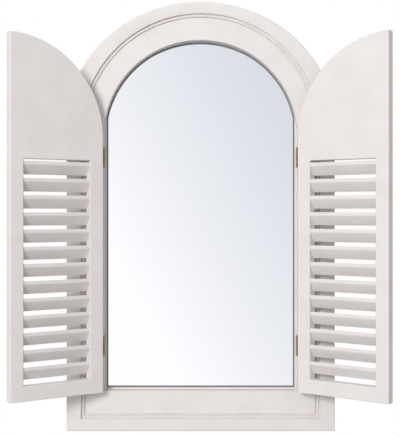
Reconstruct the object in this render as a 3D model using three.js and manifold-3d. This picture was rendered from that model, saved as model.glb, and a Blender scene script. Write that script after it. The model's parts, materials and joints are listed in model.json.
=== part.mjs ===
// Arched wall mirror behind a pair of louvred shutters, in millimetres.
// +X is right and +Z is up. The face looks along -Y, and the wall is the plane y = 0.
// A depth is measured forwards from the wall, so a depth d lies at y = -d.
import * as THREE from 'three';
import { mergeVertices } from 'three/addons/utils/BufferGeometryUtils.js';
import Module from 'manifold-3d';

const wasm = await Module();
wasm.setup();

// Frame outline, heights from the underside of the frame
const FRAME_WIDTH = 500;
const FRAME_HEIGHT = 800;
const SPRING_HEIGHT = 548;       // where the opening's half round begins
const OPENING_RADIUS = 181;      // also half the opening's width
const SILL_HEIGHT = 75;          // lower edge of the opening
const OUTER_ARCH_LIFT = 21;      // the outer arch is a low ellipse that begins this far above the spring
const BEAD_HALF_WIDTH = 218.7;   // centre line of the bead, from the middle of the frame
const BEAD_ARCH_LIFT = 7.5;
const BEAD_SILL_HEIGHT = 26.8;

// Frame section
const BAND_DEPTH = 30;           // raised outer band
const FLAT_DEPTH = 26;           // sunk flat between the bead and the opening
const REBATE_DEPTH = 8;          // for the glass and its backing
const REBATE_STEP = 3;           // the rebate is this much wider than the opening
const ARRIS = 2;                 // rounding of the long edges
const BEAD_RADIUS = 2.1;
const GROOVE_DEPTH = 24.6;       // floor of the grooves on both sides of the bead
const INNER_GROOVE_WIDTH = 2.9;
const OUTER_GROOVE_WIDTH = 2.2;
const ROUND_STEPS = 3;
const BEAD_STEPS = 6;
const ARCH_STEPS = 22;           // stations along each half of the arch
const MITRE_GAP = 0.1;

// The stop, a thin ledge between the glass and the closed shutters. It runs straight up from
// the stiles, all but vanishes at the shoulders, and has a flatter arch than the opening.
const STOP_DEPTH = 10.8;
const STOP_HALF_WIDTH = 176.7;
const STOP_SILL_HEIGHT = 78.4;
const STOP_SETBACK = 0.3;        // least width
const STOP_RADIUS = 188.1;       // reach of its arch at the level of the spring
const STOP_DROP = 8.55;          // and how much less it reaches at the crown

// Mirror pack
const GLASS_THICKNESS = 3;
const STRIP_WIDTH = 2.4;
const STRIP_THICKNESS = 2.4;
const STRIP_GAP = 0.3;
const BACKING_THICKNESS = 2.8;
const PACK_GAP = 1;              // glass and backing are this much smaller than the rebate all round
const HALF_ROUND_SEGMENTS = 24;  // a half circle gets twice as many sides
const SHUTTER_ARCH_SEGMENTS = 12;
const SMALL_ROUND_SEGMENTS = 4;

// Shutters, closed
const PIN_X = 185.7;
const PIN_DEPTH = 30.5;
const SHUTTER_EDGE_X = 180.4;    // hinge edge
const MEETING_GAP = 1.3;         // from each meeting edge to the middle
const SHUTTER_FACE_DEPTH = 29.3; // outside face
const SHUTTER_THICKNESS = 18.2;
const SHUTTER_FOOT_HEIGHT = 76;
const SHUTTER_SPRING_HEIGHT = 544.3;
const SHUTTER_ARCH_RADIUS = 179.1;
const STILE_WIDTH = 25;
const LOUVRE_FOOT_HEIGHT = 102.7;
const LOUVRE_TOP_HEIGHT = 502.1;
const FIRST_SLAT_HEIGHT = 123.8;
const SLAT_PITCH = 30.25;
const SLAT_COUNT = 13;
const SLAT_DEPTH = 13.6;         // through the shutter
const SLAT_HEIGHT = 25;
const SLAT_EDGE_HEIGHT = 7;      // of its plumb long edges
const SLAT_ARRIS = 1.2;
const BOARD_GAP = 0.15;
const SHUTTER_ARRIS = 1.8;

// Where the shutters stand, in degrees from closed
const LEFT_REST_OPEN = 147.2;
const RIGHT_REST_OPEN = 144.6;

// Butt hinges
const HINGE_HEIGHT = 38;
const HINGE_CENTRES = [158.6, 510.3];
const LEAF_THICKNESS = 1.2;
const FRAME_LEAF_STAND = 2.2;    // how far the frame leaf stands proud of the reveal
const FRAME_LEAF_REACH = 8.5;    // from the flat into the reveal
const SHUTTER_LEAF_REACH = 11.5; // from the outside face into the shutter's hinge edge
const LEAF_GAP = 0.3;            // between the closed leaves
const SEAT_SLACK = 0.3;
const SEAT_WALL = 2.9;           // wood left between a leaf's seat and the shutter's inside face
const ARM_HALF_WIDTH = 1;
const ARM_END = 1.8;             // how near the pin's axis an arm's straight faces come
const KNUCKLE_RADIUS = 2.4;
const PIN_RADIUS = 1;
const PIN_CLEARANCE = 0.25;
const KNUCKLE_COUNT = 5;
const KNUCKLE_GAP = 0.35;
const PIN_HEAD_HEIGHT = 1.6;
const PIN_HEAD_RADIUS = 1.9;
const PIN_HEAD_GAP = 0.4;
const PIN_SIDES = 14;

// Back fittings
const HANGER = { x: 217, height: 505, width: 18, length: 42, thickness: 1.5 };
const HANGER_POCKET = { width: 12, length: 26, depth: 9 };
const KEYHOLE = { slotRadius: 2, slotTop: 6, roundRadius: 4.5, roundDrop: 5 };
const HANGER_SCREW = { lift: 16, radius: 1.8 };
const BUTTON = { heights: [190, 430], length: 30, width: 11, thickness: 1.2, seat: 2.2 };
const BUTTON_SEAT = { over: 3, side: 1.5, gap: 0.3 };
const BUTTON_SCREW = { backRadius: 3, frontRadius: 3.4, height: 0.7, lift: 0.3, sides: 16 };

// The origin is on the wall, at the middle of the bottom rail's back face
const WALL_FACE_HEIGHT = 36;

// How far a cutter stands out of what it cuts
const CUT_OVER = 1;

const PAINT = { color: 0xe9e5df, roughness: 0.45, metalness: 0 };
const SILVERED_GLASS = { color: 0xe4e8ef, roughness: 0.02, metalness: 1 };
const GREY_TAPE = { color: 0x8b8d90, roughness: 0.7, metalness: 0 };
const HARDBOARD = { color: 0x8a6a48, roughness: 0.85, metalness: 0 };
const BRASS = { color: 0xb5a76a, roughness: 0.35, metalness: 1 };
const ZINC = { color: 0xb9bcc0, roughness: 0.4, metalness: 1 };

// ---- solids ----

// A closed solid from any closed geometry, with its faces turned outwards.
function toSolid(geometry) {
  const bare = new THREE.BufferGeometry();
  bare.setAttribute('position', geometry.getAttribute('position').clone());
  if (geometry.index) bare.setIndex(geometry.index.clone());
  const merged = mergeVertices(bare, 1e-4);
  const vertProperties = new Float32Array(merged.getAttribute('position').array);
  const triVerts = new Uint32Array(merged.index.array);
  if (signedVolume(vertProperties, triVerts) < 0) {
    for (let i = 0; i < triVerts.length; i += 3) {
      const first = triVerts[i];
      triVerts[i] = triVerts[i + 1];
      triVerts[i + 1] = first;
    }
  }
  return new wasm.Manifold(new wasm.Mesh({ numProp: 3, vertProperties, triVerts }));
}

function signedVolume(points, triangles) {
  const a = new THREE.Vector3();
  const b = new THREE.Vector3();
  const c = new THREE.Vector3();
  let volume = 0;
  for (let i = 0; i < triangles.length; i += 3) {
    a.fromArray(points, 3 * triangles[i]);
    b.fromArray(points, 3 * triangles[i + 1]);
    c.fromArray(points, 3 * triangles[i + 2]);
    volume += a.dot(b.cross(c)) / 6;
  }
  return volume;
}

function toGeometry(solid) {
  const mesh = solid.getMesh();
  const geometry = new THREE.BufferGeometry();
  geometry.setAttribute('position', new THREE.BufferAttribute(new Float32Array(mesh.vertProperties), 3));
  geometry.setIndex(new THREE.BufferAttribute(new Uint32Array(mesh.triVerts), 1));
  return geometry;
}

function piece(name, solid, finish) {
  const flat = toGeometry(solid).toNonIndexed();
  flat.computeVertexNormals();
  const mesh = new THREE.Mesh(flat, new THREE.MeshStandardMaterial(finish));
  mesh.name = name;
  return mesh;
}

// A block between two corners, each given as x, depth and height.
function block(low, high) {
  const size = high.map((value, axis) => Math.abs(value - low[axis]));
  const geometry = new THREE.BoxGeometry(size[0], size[1], size[2]);
  geometry.translate((low[0] + high[0]) / 2, -(low[1] + high[1]) / 2, (low[2] + high[2]) / 2);
  return toSolid(geometry);
}

// An outline drawn in x and height, made solid between two depths.
function slab(shape, backDepth, frontDepth, arris = 0, curveSegments = HALF_ROUND_SEGMENTS) {
  const geometry = new THREE.ExtrudeGeometry(shape, {
    depth: frontDepth - backDepth - 2 * arris,
    bevelEnabled: arris > 0,
    bevelThickness: arris,
    bevelSize: arris,
    bevelOffset: -arris,
    bevelSegments: ROUND_STEPS,
    curveSegments,
  });
  geometry.rotateX(Math.PI / 2);
  geometry.translate(0, -backDepth - arris, 0);
  return toSolid(geometry);
}

// An upright prism over an outline drawn in x and y.
function prism(shape, foot, top) {
  const geometry = new THREE.ExtrudeGeometry(shape, { depth: top - foot, bevelEnabled: false });
  geometry.translate(0, 0, foot);
  return toSolid(geometry);
}

function uprightCylinder(radius, foot, top, x, y, sides = 20) {
  const geometry = new THREE.CylinderGeometry(radius, radius, top - foot, sides);
  geometry.rotateX(Math.PI / 2);
  geometry.translate(x, y, (foot + top) / 2);
  return toSolid(geometry);
}

// A body skinned over a row of matching sections, with both ends closed.
function loft(stations, capTriangles) {
  const count = stations[0].length;
  const positions = stations.flat().flatMap((point) => [point.x, point.y, point.z]);
  const index = [];
  for (let row = 0; row < stations.length - 1; row += 1) {
    for (let i = 0; i < count; i += 1) {
      const here = row * count + i;
      const next = row * count + ((i + 1) % count);
      index.push(here, next, next + count);
      index.push(here, next + count, here + count);
    }
  }
  const last = (stations.length - 1) * count;
  for (const [a, b, c] of capTriangles) {
    index.push(a, c, b);
    index.push(last + a, last + b, last + c);
  }
  const geometry = new THREE.BufferGeometry();
  geometry.setAttribute('position', new THREE.Float32BufferAttribute(positions, 3));
  geometry.setIndex(index);
  return toSolid(geometry);
}

// ---- frame ----

// The moulding's section, from the rebate out to the rim. Each point hangs on one of four
// lines, the stop, the lip, the bead or the rim, with its distance outwards from that line and
// its depth.
function mouldingSection() {
  const points = [];
  const add = (line, offset, depth) => points.push({ line, offset, depth });
  add('lip', REBATE_STEP, 0);
  add('lip', REBATE_STEP, REBATE_DEPTH);
  add('stop', 0, REBATE_DEPTH);
  add('stop', 0, STOP_DEPTH);
  add('lip', 0, STOP_DEPTH);
  for (let i = 0; i <= ROUND_STEPS; i += 1) {
    const turn = (i / ROUND_STEPS) * Math.PI / 2;
    add('lip', ARRIS * (1 - Math.cos(turn)), FLAT_DEPTH - ARRIS * (1 - Math.sin(turn)));
  }
  add('bead', -BEAD_RADIUS - INNER_GROOVE_WIDTH, FLAT_DEPTH);
  add('bead', -BEAD_RADIUS - INNER_GROOVE_WIDTH, GROOVE_DEPTH);
  for (let i = 0; i <= BEAD_STEPS; i += 1) {
    const turn = Math.PI * (1 - i / BEAD_STEPS);
    add('bead', BEAD_RADIUS * Math.cos(turn), GROOVE_DEPTH + BEAD_RADIUS * Math.sin(turn));
  }
  add('bead', BEAD_RADIUS + OUTER_GROOVE_WIDTH, GROOVE_DEPTH);
  add('bead', BEAD_RADIUS + OUTER_GROOVE_WIDTH, BAND_DEPTH);
  for (let i = 0; i <= ROUND_STEPS; i += 1) {
    const turn = (i / ROUND_STEPS) * Math.PI / 2;
    add('rim', -ARRIS * (1 - Math.sin(turn)), BAND_DEPTH - ARRIS * (1 - Math.cos(turn)));
  }
  add('rim', 0, 0);
  return points.reverse();
}

const SECTION = mouldingSection();
const SIDE_LINES = {
  stop: STOP_HALF_WIDTH, lip: OPENING_RADIUS, bead: BEAD_HALF_WIDTH, rim: FRAME_WIDTH / 2,
};
const FOOT_LINES = { stop: STOP_SILL_HEIGHT, lip: SILL_HEIGHT, bead: BEAD_SILL_HEIGHT, rim: 0 };
const SECTION_CAP = THREE.ShapeUtils.triangulateShape(
  SECTION.map((point) => new THREE.Vector2(SIDE_LINES[point.line] + point.offset, point.depth)),
  [],
);

// Distance from the spring centre to a line of the moulding, along a ray at an angle above level.
function reachAlongRay(angle, halfWidth, halfHeight, lift) {
  const level = halfWidth / Math.cos(angle);
  if (level * Math.sin(angle) <= lift) return level;
  const a = (Math.cos(angle) / halfWidth) ** 2 + (Math.sin(angle) / halfHeight) ** 2;
  const b = -2 * lift * Math.sin(angle) / halfHeight ** 2;
  const c = (lift / halfHeight) ** 2 - 1;
  return (-b + Math.sqrt(b * b - 4 * a * c)) / (2 * a);
}

// Distance from the spring centre to the stop, or to a line that runs inside it all round.
function stopReach(angle, inset = 0) {
  return Math.min(
    (STOP_HALF_WIDTH - inset) / Math.abs(Math.cos(angle)),
    OPENING_RADIUS - STOP_SETBACK - inset,
    STOP_RADIUS - STOP_DROP * Math.sin(angle) - inset,
  );
}

function archStation(side, angle) {
  const rimHeight = FRAME_HEIGHT - SPRING_HEIGHT - OUTER_ARCH_LIFT;
  const reach = {
    stop: stopReach(angle),
    lip: OPENING_RADIUS,
    bead: reachAlongRay(angle, BEAD_HALF_WIDTH, BEAD_HALF_WIDTH, BEAD_ARCH_LIFT),
    rim: reachAlongRay(angle, FRAME_WIDTH / 2, rimHeight, OUTER_ARCH_LIFT),
  };
  return SECTION.map((point) => {
    const distance = reach[point.line] + point.offset;
    const x = angle === Math.PI / 2 ? 0 : side * distance * Math.cos(angle);
    return new THREE.Vector3(x, -point.depth, SPRING_HEIGHT + distance * Math.sin(angle));
  });
}

function archHalf(side) {
  const stations = [];
  for (let i = 0; i <= ARCH_STEPS; i += 1) {
    stations.push(archStation(side, (i / ARCH_STEPS) * Math.PI / 2));
  }
  return loft(stations, SECTION_CAP);
}

// Where the stile's and the rail's copies of a section point meet, at the lower corner.
function cornerPoint(side, point) {
  const x = side * (SIDE_LINES[point.line] + point.offset);
  return new THREE.Vector3(x, -point.depth, FOOT_LINES[point.line] - point.offset);
}

function stile(side) {
  const foot = SECTION.map((point) => cornerPoint(side, point).add(new THREE.Vector3(0, 0, MITRE_GAP)));
  const top = foot.map((point) => new THREE.Vector3(point.x, point.y, SPRING_HEIGHT));
  let solid = loft([foot, top], SECTION_CAP);
  for (const height of HINGE_CENTRES) solid = solid.subtract(leafSeat(side, height));
  for (const height of BUTTON.heights) solid = solid.subtract(buttonSeat(side, height));
  return solid.subtract(hangerSeat(side));
}

function bottomRail() {
  const ends = [-1, 1].map((side) => SECTION.map((point) => cornerPoint(side, point)));
  return loft(ends, SECTION_CAP);
}

// The housing that lets the frame leaf's wrap lie flush with the flat.
function leafSeat(side, height) {
  const half = HINGE_HEIGHT / 2 + SEAT_SLACK;
  const floor = FLAT_DEPTH - LEAF_THICKNESS - SEAT_SLACK;
  const outer = PIN_X + KNUCKLE_RADIUS + SEAT_SLACK;
  return block(
    [side * (OPENING_RADIUS - CUT_OVER), floor, height - half],
    [side * outer, FLAT_DEPTH + CUT_OVER, height + half],
  );
}

function hangerSeat(side) {
  const halfWidth = HANGER.width / 2 + SEAT_SLACK;
  const halfLength = HANGER.length / 2 + SEAT_SLACK;
  const x = side * HANGER.x;
  const tray = block(
    [x - halfWidth, -CUT_OVER, HANGER.height - halfLength],
    [x + halfWidth, HANGER.thickness, HANGER.height + halfLength],
  );
  const pocket = block(
    [x - HANGER_POCKET.width / 2, 0, HANGER.height - HANGER_POCKET.length / 2],
    [x + HANGER_POCKET.width / 2, HANGER_POCKET.depth, HANGER.height + HANGER_POCKET.length / 2],
  );
  return tray.add(pocket);
}

function buttonSeat(side, height) {
  const inner = OPENING_RADIUS;
  const outer = OPENING_RADIUS + REBATE_STEP + BUTTON.length / 2 + BUTTON_SEAT.over;
  const half = BUTTON.width / 2 + BUTTON_SEAT.side;
  return block([side * inner, -CUT_OVER, height - half], [side * outer, BUTTON.seat, height + half]);
}

// ---- mirror and back ----

// An outline like the opening, with a square foot, moved outwards all round.
function openingOutline(outwards) {
  const radius = OPENING_RADIUS + outwards;
  const shape = new THREE.Shape();
  shape.moveTo(radius, SPRING_HEIGHT);
  shape.absarc(0, SPRING_HEIGHT, radius, 0, Math.PI, false);
  shape.lineTo(-radius, SILL_HEIGHT - outwards);
  shape.lineTo(radius, SILL_HEIGHT - outwards);
  return shape;
}

function mirrorGlass() {
  const outline = openingOutline(REBATE_STEP - PACK_GAP);
  return slab(outline, REBATE_DEPTH - GLASS_THICKNESS, REBATE_DEPTH);
}

function backingBoard() {
  const front = REBATE_DEPTH - GLASS_THICKNESS;
  return slab(openingOutline(REBATE_STEP - PACK_GAP), front - BACKING_THICKNESS, front);
}

// An outline that runs inside the stop all round.
function stopOutline(inset) {
  const shape = new THREE.Shape();
  shape.moveTo(STOP_HALF_WIDTH - inset, STOP_SILL_HEIGHT + inset);
  const steps = 2 * HALF_ROUND_SEGMENTS;
  for (let i = 0; i <= steps; i += 1) {
    const angle = Math.PI * i / steps;
    const reach = stopReach(angle, inset);
    shape.lineTo(reach * Math.cos(angle), SPRING_HEIGHT + reach * Math.sin(angle));
  }
  shape.lineTo(-STOP_HALF_WIDTH + inset, STOP_SILL_HEIGHT + inset);
  return shape;
}

// The grey tape that lies on the glass inside the stop and frames the mirror.
function glazingStrip() {
  const outline = stopOutline(STRIP_GAP);
  outline.holes.push(stopOutline(STRIP_GAP + STRIP_WIDTH));
  return slab(outline, REBATE_DEPTH, REBATE_DEPTH + STRIP_THICKNESS);
}

// A turn button, lying across the rebate's edge on its own screw.
function turnButton(side, height) {
  const radius = BUTTON.width / 2;
  const centre = side * (OPENING_RADIUS + REBATE_STEP);
  const half = BUTTON.length / 2 - radius;
  const shape = new THREE.Shape();
  shape.absarc(centre + half, height, radius, -Math.PI / 2, Math.PI / 2, false);
  shape.absarc(centre - half, height, radius, Math.PI / 2, 1.5 * Math.PI, false);
  const front = BUTTON.seat - BUTTON_SEAT.gap;
  const back = front - BUTTON.thickness;
  const plate = slab(shape, back, front, 0, SMALL_ROUND_SEGMENTS);
  const { backRadius, frontRadius, height: headHeight, lift, sides } = BUTTON_SCREW;
  const head = new THREE.CylinderGeometry(backRadius, frontRadius, headHeight, sides);
  head.translate(centre + side * half, lift - back, height);
  return plate.add(toSolid(head));
}

// A flush keyhole plate: the nail's head enters the round and slides up the slot.
function hangerPlate(side) {
  const x = side * HANGER.x;
  const end = HANGER.width / 2;
  const straight = HANGER.length / 2 - end;
  const shape = new THREE.Shape();
  shape.absarc(x, HANGER.height + straight, end, 0, Math.PI, false);
  shape.absarc(x, HANGER.height - straight, end, Math.PI, 2 * Math.PI, false);
  const keyhole = new THREE.Path();
  const { slotRadius, slotTop, roundRadius, roundDrop } = KEYHOLE;
  const turn = Math.asin(slotRadius / roundRadius);
  keyhole.absarc(x, HANGER.height + slotTop, slotRadius, 0, Math.PI, false);
  keyhole.absarc(x, HANGER.height - roundDrop, roundRadius, Math.PI / 2 + turn, 2.5 * Math.PI - turn, false);
  shape.holes.push(keyhole);
  for (const lift of [-HANGER_SCREW.lift, HANGER_SCREW.lift]) {
    const screwHole = new THREE.Path();
    screwHole.absarc(x, HANGER.height + lift, HANGER_SCREW.radius, 0, 2 * Math.PI, false);
    shape.holes.push(screwHole);
  }
  return slab(shape, 0, HANGER.thickness, 0, SMALL_ROUND_SEGMENTS);
}

// ---- shutters, drawn closed, with x measured from the pin ----

const EDGE = PIN_X - SHUTTER_EDGE_X;
const SHUTTER_WIDTH = SHUTTER_EDGE_X - MEETING_GAP;
const FACE = SHUTTER_FACE_DEPTH - PIN_DEPTH;     // outside face, as a depth from the pin
const INNER_FACE = FACE - SHUTTER_THICKNESS;
const SHUTTER_TOP_HEIGHT = SHUTTER_SPRING_HEIGHT + SHUTTER_ARCH_RADIUS;

// Faces of the closed leaves, from the pin towards the middle
const FRAME_LEAF_OUTER = PIN_X - OPENING_RADIUS + MITRE_GAP;
const FRAME_LEAF_INNER = FRAME_LEAF_OUTER + FRAME_LEAF_STAND;
const SHUTTER_LEAF_OUTER = FRAME_LEAF_INNER + LEAF_GAP;
const SHUTTER_LEAF_INNER = SHUTTER_LEAF_OUTER + LEAF_THICKNESS;

// The whole shutter as one blank: a quarter arch, a square foot and the louvre opening.
function shutterBlank(side) {
  const near = -side * EDGE;
  const far = -side * (EDGE + SHUTTER_WIDTH);
  const shape = new THREE.Shape();
  shape.moveTo(far, SHUTTER_FOOT_HEIGHT);
  shape.lineTo(near, SHUTTER_FOOT_HEIGHT);
  if (side > 0) shape.absarc(far, SHUTTER_SPRING_HEIGHT, SHUTTER_ARCH_RADIUS, 0, Math.PI / 2, false);
  else shape.absarc(far, SHUTTER_SPRING_HEIGHT, SHUTTER_ARCH_RADIUS, Math.PI, Math.PI / 2, true);
  const opening = new THREE.Path();
  const innerNear = near - side * STILE_WIDTH;
  const innerFar = far + side * STILE_WIDTH;
  opening.moveTo(innerNear, LOUVRE_FOOT_HEIGHT);
  opening.lineTo(innerFar, LOUVRE_FOOT_HEIGHT);
  opening.lineTo(innerFar, LOUVRE_TOP_HEIGHT);
  opening.lineTo(innerNear, LOUVRE_TOP_HEIGHT);
  shape.holes.push(opening);
  return slab(shape, INNER_FACE, FACE, SHUTTER_ARRIS, SHUTTER_ARCH_SEGMENTS);
}

// The blank's boards, cut apart at the joints: two full-height stiles with two rails between.
function shutterBoards(side) {
  const blank = shutterBlank(side);
  const cut = (from, to, foot, top) => blank.intersect(
    block([-side * from, INNER_FACE - CUT_OVER, foot], [-side * to, FACE + CUT_OVER, top]),
  );
  const hingeInside = EDGE + STILE_WIDTH;
  const meetingInside = EDGE + SHUTTER_WIDTH - STILE_WIDTH;
  const middle = (LOUVRE_FOOT_HEIGHT + LOUVRE_TOP_HEIGHT) / 2;
  const whole = [SHUTTER_FOOT_HEIGHT - CUT_OVER, SHUTTER_TOP_HEIGHT + CUT_OVER];
  let hingeStile = cut(EDGE - CUT_OVER, hingeInside, ...whole);
  for (const height of HINGE_CENTRES) hingeStile = hingeStile.subtract(edgeSeat(side, height));
  return {
    hinge_stile: hingeStile,
    meeting_stile: cut(meetingInside, EDGE + SHUTTER_WIDTH + CUT_OVER, ...whole),
    top_panel: cut(hingeInside + BOARD_GAP, meetingInside - BOARD_GAP, middle, whole[1]),
    bottom_rail: cut(hingeInside + BOARD_GAP, meetingInside - BOARD_GAP, whole[0], middle),
  };
}

// The seat in a shutter's hinge edge, deep enough for both leaves of the closed hinge.
function edgeSeat(side, height) {
  const half = HINGE_HEIGHT / 2 + SEAT_SLACK;
  return block(
    [-side * (EDGE - CUT_OVER), INNER_FACE + SEAT_WALL, height - half],
    [-side * (SHUTTER_LEAF_INNER + SEAT_SLACK), FACE + CUT_OVER, height + half],
  );
}

// A slat's section, x towards the inside face: a thin board that falls towards the outside, with
// its long edges cut plumb and its corners eased.
function slatSection() {
  const x = SLAT_DEPTH / 2;
  const y = SLAT_HEIGHT / 2;
  const corners = [
    [x, y],
    [-x, SLAT_EDGE_HEIGHT - y],
    [-x, -y],
    [x, y - SLAT_EDGE_HEIGHT],
  ].map(([u, v]) => new THREE.Vector2(u, v));
  const eased = (from, to) => from.clone().add(to.clone().sub(from).setLength(SLAT_ARRIS));
  const shape = new THREE.Shape();
  corners.forEach((corner, i) => {
    const before = eased(corner, corners[(i + 3) % 4]);
    const after = eased(corner, corners[(i + 1) % 4]);
    if (i === 0) shape.moveTo(before.x, before.y);
    else shape.lineTo(before.x, before.y);
    shape.quadraticCurveTo(corner.x, corner.y, after.x, after.y);
  });
  shape.closePath();
  return shape;
}

// One louvre slat, set between the stiles.
function slat(side, number) {
  const length = SHUTTER_WIDTH - 2 * STILE_WIDTH - 2 * BOARD_GAP;
  const geometry = new THREE.ExtrudeGeometry(slatSection(), {
    depth: length,
    bevelEnabled: false,
    curveSegments: SMALL_ROUND_SEGMENTS,
  });
  geometry.translate(0, 0, -length / 2);
  // the section stands in x and y; turn it to stand in depth and height
  geometry.rotateX(Math.PI / 2);
  geometry.rotateZ(Math.PI / 2);
  geometry.translate(
    -side * (EDGE + SHUTTER_WIDTH / 2),
    -(FACE + INNER_FACE) / 2,
    FIRST_SLAT_HEIGHT + (number - 1) * SLAT_PITCH,
  );
  return toSolid(geometry);
}

// ---- hinges ----

// Spans of one leaf's knuckles: the frame leaf has the odd ones, the shutter leaf the even ones.
function knuckleSpans(height, first) {
  const pitch = HINGE_HEIGHT / KNUCKLE_COUNT;
  const spans = [];
  for (let i = first; i < KNUCKLE_COUNT; i += 2) {
    const foot = height - HINGE_HEIGHT / 2 + i * pitch;
    const low = i === 0 ? foot : foot + KNUCKLE_GAP / 2;
    const high = i === KNUCKLE_COUNT - 1 ? foot + pitch : foot + pitch - KNUCKLE_GAP / 2;
    spans.push([low, high]);
  }
  return spans;
}

function outlineInPlan(side, corners) {
  const shape = new THREE.Shape();
  corners.forEach(([x, y], i) => (i ? shape.lineTo(side * x, y) : shape.moveTo(side * x, y)));
  return shape;
}

// A leaf is a plate for its whole height, an arm at each of its knuckles, and the knuckles
// themselves, all bored for the pin. Plan outlines are measured from the pin.
function leaf(side, height, plateCorners, armCorners, firstKnuckle) {
  const foot = height - HINGE_HEIGHT / 2;
  let solid = prism(outlineInPlan(side, plateCorners), foot, foot + HINGE_HEIGHT);
  for (const [low, high] of knuckleSpans(height, firstKnuckle)) {
    solid = solid.add(prism(outlineInPlan(side, armCorners), low, high));
    solid = solid.add(uprightCylinder(KNUCKLE_RADIUS, low, high, 0, 0));
  }
  const top = foot + HINGE_HEIGHT;
  const bore = uprightCylinder(PIN_RADIUS + PIN_CLEARANCE, foot - CUT_OVER, top + CUT_OVER, 0, 0);
  return solid.subtract(bore);
}

// The frame leaf stands on the reveal and wraps the lip to reach the knuckles over the flat.
function frameLeaf(side, height) {
  const flat = PIN_DEPTH - FLAT_DEPTH;
  const plate = [
    [-FRAME_LEAF_INNER, flat],
    [ARM_HALF_WIDTH, flat],
    [ARM_HALF_WIDTH, flat + LEAF_THICKNESS],
    [-FRAME_LEAF_OUTER, flat + LEAF_THICKNESS],
    [-FRAME_LEAF_OUTER, flat + FRAME_LEAF_REACH],
    [-FRAME_LEAF_INNER, flat + FRAME_LEAF_REACH],
  ];
  const arm = [
    [-ARM_HALF_WIDTH, flat + LEAF_THICKNESS / 2],
    [-ARM_HALF_WIDTH, ARM_END],
    [ARM_HALF_WIDTH, ARM_END],
    [ARM_HALF_WIDTH, flat + LEAF_THICKNESS / 2],
  ];
  return leaf(side, height, plate, arm, 0);
}

// The shutter leaf lies in the shutter's hinge edge and reaches outwards over the lip.
function shutterLeaf(side, height) {
  const face = -FACE;
  const plate = [
    [-SHUTTER_LEAF_INNER, face],
    [-SHUTTER_LEAF_OUTER, face],
    [-SHUTTER_LEAF_OUTER, face + SHUTTER_LEAF_REACH],
    [-SHUTTER_LEAF_INNER, face + SHUTTER_LEAF_REACH],
  ];
  const arm = [
    [-SHUTTER_LEAF_INNER, face + LEAF_THICKNESS],
    [-SHUTTER_LEAF_INNER, face - LEAF_THICKNESS / 2],
    [-ARM_END, -LEAF_THICKNESS / 2],
    [-ARM_END, LEAF_THICKNESS / 2],
    [-SHUTTER_LEAF_OUTER, face + LEAF_THICKNESS],
  ];
  return leaf(side, height, plate, arm, 1);
}

function hingePin(height) {
  const foot = height - HINGE_HEIGHT / 2;
  const top = foot + HINGE_HEIGHT;
  const reach = PIN_HEAD_GAP + PIN_HEAD_HEIGHT / 2;
  const shank = uprightCylinder(PIN_RADIUS, foot - reach, top + reach, 0, 0, PIN_SIDES);
  const head = (low) => uprightCylinder(PIN_HEAD_RADIUS, low, low + PIN_HEAD_HEIGHT, 0, 0, PIN_SIDES);
  return shank.add(head(foot - PIN_HEAD_GAP - PIN_HEAD_HEIGHT)).add(head(top + PIN_HEAD_GAP));
}

// ---- assembly ----

function frameGroup() {
  const group = new THREE.Group();
  group.add(piece('bottom_rail', bottomRail(), PAINT));
  group.add(piece('mirror_glass', mirrorGlass(), SILVERED_GLASS));
  group.add(piece('glazing_strip', glazingStrip(), GREY_TAPE));
  group.add(piece('backing_board', backingBoard(), HARDBOARD));
  for (const [word, side] of [['left', -1], ['right', 1]]) {
    group.add(piece(`${word}_stile`, stile(side), PAINT));
    group.add(piece(`${word}_arch`, archHalf(side), PAINT));
    group.add(piece(`${word}_hanger`, hangerPlate(side), ZINC));
    BUTTON.heights.forEach((height, i) => {
      const place = i ? 'upper' : 'lower';
      group.add(piece(`${word}_${place}_turn_button`, turnButton(side, height), ZINC));
    });
  }
  return group;
}

function hingeLine(side) {
  const group = new THREE.Group();
  group.position.set(side * PIN_X, -PIN_DEPTH, 0);
  return group;
}

// What stays on the frame at a hinge line: the frame leaves and the pins.
function fixedHinges(word, side) {
  const group = hingeLine(side);
  HINGE_CENTRES.forEach((height, i) => {
    const place = `${word}_${i ? 'upper' : 'lower'}`;
    group.add(piece(`${place}_frame_leaf`, frameLeaf(side, height), BRASS));
    group.add(piece(`${place}_pin`, hingePin(height), BRASS));
  });
  return group;
}

function shutter(word, side, openDegrees) {
  const group = hingeLine(side);
  group.rotation.z = side * THREE.MathUtils.degToRad(openDegrees);
  for (const [board, solid] of Object.entries(shutterBoards(side))) {
    group.add(piece(`${word}_${board}`.replace('bottom_rail', 'shutter_rail'), solid, PAINT));
  }
  for (let number = 1; number <= SLAT_COUNT; number += 1) {
    const label = String(number).padStart(2, '0');
    group.add(piece(`${word}_slat_${label}`, slat(side, number), PAINT));
  }
  HINGE_CENTRES.forEach((height, i) => {
    const name = `${word}_${i ? 'upper' : 'lower'}_shutter_leaf`;
    group.add(piece(name, shutterLeaf(side, height), BRASS));
  });
  return group;
}

const shutterMirror = new THREE.Group();
shutterMirror.position.z = -WALL_FACE_HEIGHT;
shutterMirror.add(frameGroup());
shutterMirror.add(fixedHinges('left', -1));
shutterMirror.add(fixedHinges('right', 1));
shutterMirror.add(shutter('left', -1, LEFT_REST_OPEN));
shutterMirror.add(shutter('right', 1, RIGHT_REST_OPEN));

export default shutterMirror;
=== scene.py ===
"""Looks of an arched wall mirror with two louvred shutters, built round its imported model.
Blender 4.5. Metres. +X is right, +Z is up, the face looks along -Y and the wall is y = 0."""

import json
import math

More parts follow.
